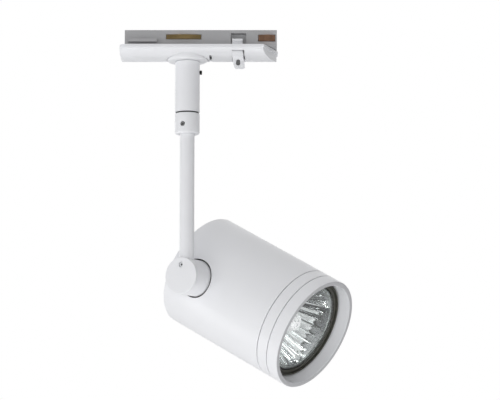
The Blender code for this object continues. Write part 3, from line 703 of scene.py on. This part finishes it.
def make_front():
    """Screw-on front ring with its slanted inner wall, and the dark beaded retainer."""
    place = lamp_place(LAMP_LINE)
    a, seat = FRONT_GROOVE + GROOVE / 2, BODY_FRONT - RECESS
    ring = [(30.9, 54.5), (30.9, a), (BODY_R - 0.15, a), (BODY_R, a + 0.15)]
    ring += arc(BODY_R - 0.6, BODY_FRONT - 0.6, 0.6, 0, 90)
    ring += arc(BEZEL_R + 0.4, BODY_FRONT - 0.4, 0.4, 90, 180)
    ring += [(SEAT_R, seat), (SEAT_R, 57.0), (27.6, 57.0), (27.6, 54.5)]
    make("front_ring_skin", lathe(ring, LARGEST_ROUND), "front_ring", RING_WHITE_PAINTED_SHADE, ["front_ring"],
         place)
    outer, inner, bottom = SEAT_R - 0.3, 25.7, 57.3
    hold = [(outer, bottom), (outer, seat - 1.1), (28.2, seat - 1.2)]
    hold += arc(27.8, seat - 0.35, 0.35, 0, 180)
    hold += [(27.4, seat - 1.4), (26.7, seat - 1.5), (26.6, seat - 0.9)]
    hold += [(inner, seat - 1.3), (inner, bottom)]
    make("lamp_retainer_ring", lathe(hold), "front_ring", RETAINER, ["lamp_retainer"], place)


# ---------------------------------------------------------------- lamp
def bowl(t, throat, mouth):
    """Radius of the reflector bowl at a share t of its depth."""
    return throat + (mouth - throat) * math.sqrt(t) * (0.75 + 0.25 * t)


def make_bowl(place):
    """Pressed-glass reflector: smooth outside, radial flutes inside that end under the rim,
    and a hammered zone around the throat."""
    flutes, per, rows = 30, 12, 40             # per: points across one flute
    hammered, run_in, head, fade = 0.16, 0.1, 0.95, 0.08    # shares of the bowl's depth
    throat_outside, throat_inside, wall = 10.2, 8.4, 1.9
    depth, bumps = 0.28, 0.3                   # of the flutes, of the hammered zone
    around = flutes * per
    grid = []
    for i in range(rows + 1):
        t = i / rows
        z = LAMP_BACK + (LAMP_MOUTH - LAMP_BACK) * t
        grid.append([(bowl(t, throat_outside, LAMP_R), z)] * around)
    for i in range(rows, -1, -1):
        t = i / rows
        z = LAMP_BACK + (LAMP_MOUTH - LAMP_BACK) * t
        strength = min(1.0, (t - hammered) / run_in) * min(1.0, max(0.0, (head - t) / fade))
        row = []
        for j in range(around):
            off = abs(2 * (j % per) / per - 1)     # 0 on a flute's crest, 1 between flutes
            if t > hammered:
                cut = depth * strength * (0.3 * off ** 6 + 0.7 * off ** 2)
            else:
                cut = -bumps * math.sin(i * 2.6) * math.sin(3 * math.pi * j / per)
            row.append((bowl(t, throat_inside, LAMP_R - wall) + cut, z))
        grid.append(row)
    bm = bmesh.new()
    made = []
    for row in grid:
        ring = []
        for j, (radius, z) in enumerate(row):
            angle = 2 * math.pi * j / around
            ring.append(bm.verts.new((radius * math.cos(angle), radius * math.sin(angle), z)))
        made.append(ring)
    for low, high in zip(made, made[1:] + made[:1]):
        for j in range(around):
            k = (j + 1) % around
            bm.faces.new((low[j], low[k], high[k], high[j]))
    make("lamp_bowl", bm, "bulb", MIRROR, ["lamp_reflector"], place, sharp=24)


def make_lamp():
    """Reflector lamp: bowl, sealed rim, front glass, ceramic base and capsule."""
    place = lamp_place(LAMP_LINE)
    make_bowl(place)
    middle, half = (SEAL_INNER_R + LAMP_R) / 2, (LAMP_R - SEAL_INNER_R) / 2 - 0.05
    low, height = LAMP_MOUTH + 0.05, 0.4
    rim = [(middle - half, low), (middle + half, low)]
    for degrees in range(0, 181, 15):
        angle = math.radians(degrees)
        rim.append((middle + half * math.cos(angle), low + 0.1 + height * math.sin(angle)))
    make("lamp_seal_rim", lathe(rim), "bulb", SEAL, (), place)
    back, front = LAMP_MOUTH + 0.6, LAMP_MOUTH + 1.7
    pane = [(0, back), (LAMP_R - 0.3, back), (LAMP_R, back + 0.2)]
    pane += arc(LAMP_R - 0.7, front - 0.7, 0.7, 0, 90) + [(0, front)]
    make("lamp_front_pane", lathe(pane), "bulb", GLASS, ["lamp_front_glass"], place)
    base = [(0, 13.1), (9.0, 13.1), (9.6, 13.7), (9.6, 26.2), (5.2, 26.2), (5.2, 22.0), (0, 22.0)]
    make("lamp_base_skin", lathe(base, SMALL_ROUND), "bulb", CERAMIC, ["lamp_base"], place)
    capsule = [(0, 22.4), (3.4, 22.4), (4.7, 26.4), (CAPSULE_R, 28.5)]
    capsule += arc(0, CAPSULE_TIP - CAPSULE_R, CAPSULE_R, 0, 90, 12)[:-1] + [(0, CAPSULE_TIP)]
    make("capsule_quartz_skin", lathe(capsule, 48), "bulb", QUARTZ, ["lamp_capsule"], place)


# ---------------------------------------------------------------- stage
STAGE_CENTRE = Vector((0.02, 0.0, -0.12))
AMBIENT = 0.015                                # faint light from all round
GLOWS = {(0, 1, 0): 1.4, (0, 0, 1): 0.91}      # direction it comes from: strength
# Direction from the object, distance in m, side in m, power in W. The cards show only as
# reflections.
LIGHTS = {
    "front_softbox": ((0, -1, 0), 1.6, 0.8, 6.1),
    "left_softbox": ((-1, -1, 0), 1.1, 0.8, 2.4),
    "left_strip_high": ((-1, -0.2, 0.35), 1.0, 0.4, 0.75),
    "left_kicker_low": ((-0.9, 0.1, -0.42), 0.9, 0.25, 0.72),
    "table_bounce": ((0, 0, -1), 0.42, 0.6, 0.5),
    "right_bounce_low": ((1, -0.3, -0.5), 0.8, 0.6, 0.3),
    "back_left": ((-0.8, 0.7, 0.1), 1.2, 0.8, 0.7),
    "card_right": ((0.97, -0.26, 0.0), 1.0, 0.5, 0.95),
    "card_low": ((0.05, -0.5, -0.86), 0.6, 0.45, 1.8),
    "card_high": ((0.37, -0.44, 0.82), 0.8, 0.25, 0.4),
    "card_front": ((-0.01, -1, -0.02), 1.6, 0.18, 1.0),
}
MATT_ONLY = ("front_softbox", "left_softbox")  # lights that mirrors don't show
FLOOR_Z, FLOOR_REACH = -0.62, 40.0             # m
CAMERA_PLACE, CAMERA_TILT = (0.03514, -1.37016, -0.30028), 8.515    # m, degrees upwards
CAMERA_LENS, CAMERA_SENSOR = 178.9, 36.0       # mm


def area_light(name, direction, distance, size, power):
    """Square light that faces the middle of the object."""
    data = bpy.data.lights.new(name, "AREA")
    data.size, data.energy = size, power
    light = add_object(name, data)
    light.location = STAGE_CENTRE + direction * distance
    light.rotation_euler = (-direction).to_track_quat("-Z", "Y").to_euler()
    light.visible_camera = False
    light.visible_glossy = name not in MATT_ONLY
    light.visible_diffuse = not name.startswith("card")


def make_stage():
    """Pale paper floor, studio lights and the world."""
    mesh = bpy.data.meshes.new("floor")
    bm = bmesh.new()
    bmesh.ops.create_grid(bm, x_segments=1, y_segments=1, size=FLOOR_REACH)
    bm.to_mesh(mesh)
    bm.free()
    floor = add_object("floor", mesh)
    floor.location = (0, 0, FLOOR_Z)
    paper = Nodes("pale_floor")
    paper.link(paper.ramp(paper.noise(4, 3), [(0.3, (0.80,) * 3), (0.7, (0.84,) * 3)]),
               paper.shader.inputs["Base Color"])
    paper.set(Roughness=0.8)
    mesh.materials.append(paper.material)

    make_world()
    for name, (direction, distance, size, power) in LIGHTS.items():
        area_light(name, Vector(direction).normalized(), distance, size, power)


def make_world():
    """White to the camera; as a light, soft glows from above and from behind the object."""
    world = bpy.data.worlds.new("studio")
    world.use_nodes = True
    tree = world.node_tree
    total = None
    for direction, strength in GLOWS.items():
        last = tree.nodes.new("ShaderNodeTexCoord").outputs["Generated"]
        for kind, operation, value in (("VectorMath", "DOT_PRODUCT", direction),
                                       ("Math", "MAXIMUM", 0.0), ("Math", "POWER", 2.0),
                                       ("Math", "MULTIPLY", strength)):
            node = tree.nodes.new("ShaderNode" + kind)
            node.operation = operation
            tree.links.new(last, node.inputs[0])
            node.inputs[1].default_value = value
            last = node.outputs["Value"]
        add = tree.nodes.new("ShaderNodeMath")
        add.inputs[1].default_value = AMBIENT
        tree.links.new(last, add.inputs[0])
        if total is not None:
            tree.links.new(total, add.inputs[1])
        total = add.outputs["Value"]
    path = tree.nodes.new("ShaderNodeLightPath")
    mix = tree.nodes.new("ShaderNodeMix")
    mix.inputs["B"].default_value = 1.0
    tree.links.new(path.outputs["Is Camera Ray"], mix.inputs["Factor"])
    tree.links.new(total, mix.inputs["A"])
    tree.links.new(mix.outputs["Result"], tree.nodes["Background"].inputs["Color"])
    bpy.context.scene.world = world


def make_camera():
    """Long lens, a little below the object and looking slightly up."""
    data = bpy.data.cameras.new("camera")
    data.lens, data.sensor_width = CAMERA_LENS, CAMERA_SENSOR
    data.clip_start, data.clip_end = 0.05, 20.0
    camera = add_object("camera", data)
    camera.location = CAMERA_PLACE
    camera.rotation_euler = (math.radians(90 + CAMERA_TILT), 0, 0)
    bpy.context.scene.camera = camera
    bpy.context.scene.view_settings.view_transform = "Standard"


# ---------------------------------------------------------------- finishes and slots
CAD_FINISH = {                  # the record's slot: its finish
    "grey_plastic": GREY, "brass": BRASS, "steel": STEEL, "dark_steel": DARK_STEEL,
    "black_plastic": BLACK, "ceramic": CERAMIC, "cable_sheath": SHEATH, "white_paint": WHITE,
    "white_plastic": PLASTIC, "mirror_coating": MIRROR, "clear_glass": GLASS,
    "dark_silicone": RETAINER}


def finish_cad_nodes():
    """Give every carried-over CAD node its procedural finish."""
    for part in frame["record"]["subparts"]:
        mesh = NODES[part["node"]].data
        mesh.materials.clear()
        mesh.materials.append(CAD_FINISH[part["material_slot"]])
    NODES["contact_earth"].data.materials[0] = COPPER
    NODES["latch_backing_plate"].data.materials[0] = DULL_STEEL


make_camera()
make_stage()
finish_cad_nodes()
make_cover()
make_latch()
make_column()
make_stem()
make_knuckle()
make_body()
make_front()
make_lamp()
